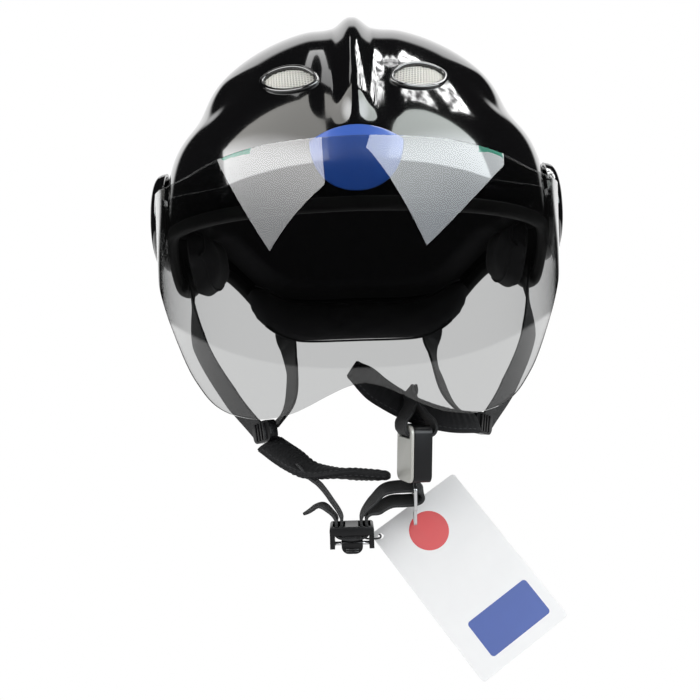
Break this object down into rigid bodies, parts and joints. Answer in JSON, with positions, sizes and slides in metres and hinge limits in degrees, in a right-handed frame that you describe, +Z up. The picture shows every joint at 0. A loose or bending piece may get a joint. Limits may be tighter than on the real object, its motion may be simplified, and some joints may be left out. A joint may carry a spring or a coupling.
{
  "type": "open-face paramotor helmet",
  "caption": "Open-face paramotor helmet: glossy black shell with a keel and two vents, clear flip-up visor on side pivots, padded lining, unfastened chin strap and a swing tag.",
  "frame": {"origin": "midway between the two visor pivots, inside the wearer's head", "axes": "+Z up, -Y the way the face looks, +X the wearer's left"},
  "size_m": [0.2566, 0.2746, 0.3765],
  "materials": {
    "shell": "high gloss black lacquer",
    "rubber": "satin black",
    "blue_plate": "satin blue",
    "foam": "expanded foam",
    "cloth": "knitted lining cloth",
    "webbing": "woven webbing",
    "clear": "clear gloss polycarbonate",
    "black_plastic": "satin",
    "grey_plastic": "satin",
    "steel": "brushed",
    "card": "coated card"
  },
  "bodies": {
    "helmet_body": {"outer_shell": "shell", "edge_trim": "rubber", "forehead_badge": "blue_plate", "impact_liner": "foam", "brow_pad": "cloth", "crown_pad": "cloth", "neck_roll": "cloth", "chin_sleeve_right": "cloth", "chin_sleeve_left": "cloth", "buckle_web": "webbing", "adjuster_web": "webbing", "lock_body": "black_plastic", "lock_pin": "steel", "tag_cord": "cloth", "vent_mesh_left": "steel", "vent_mesh_right": "steel", "ear_pad_left": "cloth", "ear_pad_right": "cloth", "pivot_base_left": "black_plastic", "pivot_base_right": "black_plastic", "pivot_washer_left": "black_plastic", "pivot_washer_right": "black_plastic", "front_rivet_left": "black_plastic", "front_rivet_right": "black_plastic", "rear_rivet_left": "black_plastic", "rear_rivet_right": "black_plastic", "divider_left": "black_plastic", "divider_right": "black_plastic", "pivot_nut_left": "steel", "pivot_nut_right": "steel", "pivot_screw_left": "steel", "pivot_screw_right": "steel", "front_leg_left": "webbing", "front_leg_right": "webbing", "rear_leg_left": "webbing", "rear_leg_right": "webbing"},
    "visor_group": {"visor": "clear", "pivot_cover_left": "shell", "pivot_cover_right": "shell"},
    "buckle": {"buckle_housing": "black_plastic", "buckle_face": "grey_plastic", "buckle_spring": "steel"},
    "button": {"buckle_button": "black_plastic"},
    "tongue": {"tongue_plate": "steel"},
    "lock_lever": {"lock_tab": "black_plastic"},
    "tag": {"hang_tag": "card"}
  },
  "joints": [
    {"name": "visor_tilt", "type": "hinge", "parent": "helmet_body", "child": "visor_group", "pos_m": [0, 0, 0], "axis": [-1, 0, 0], "range_deg": [0, 62]},
    {"name": "buckle_swing", "type": "hinge", "parent": "helmet_body", "child": "buckle", "pos_m": [0.0273, -0.113, -0.1261], "axis": [0.309, -0.9511, 0], "range_deg": [-3, 28], "deforming": ["buckle_web"]},
    {"name": "button_press", "type": "slide", "parent": "buckle", "child": "button", "axis": [-0.9511, -0.309, 0], "range_m": [0, 0.001], "stiffness_N_per_m": 600, "deforming": ["buckle_spring"]},
    {"name": "tongue_swing", "type": "hinge", "parent": "helmet_body", "child": "tongue", "pos_m": [0.026, -0.102, -0.1593], "axis": [0, -0.9659, -0.2588], "range_deg": [-10, 14]},
    {"name": "lock_lift", "type": "hinge", "parent": "helmet_body", "child": "lock_lever", "pos_m": [-0.0086, -0.106, -0.1846], "axis": [-1, 0, 0], "range_deg": [-20, 70]},
    {"name": "tag_swing", "type": "hinge", "parent": "helmet_body", "child": "tag", "pos_m": [0.0072, -0.094, -0.1836], "axis": [0, 1, 0], "range_deg": [-10, 75]}
  ]
}
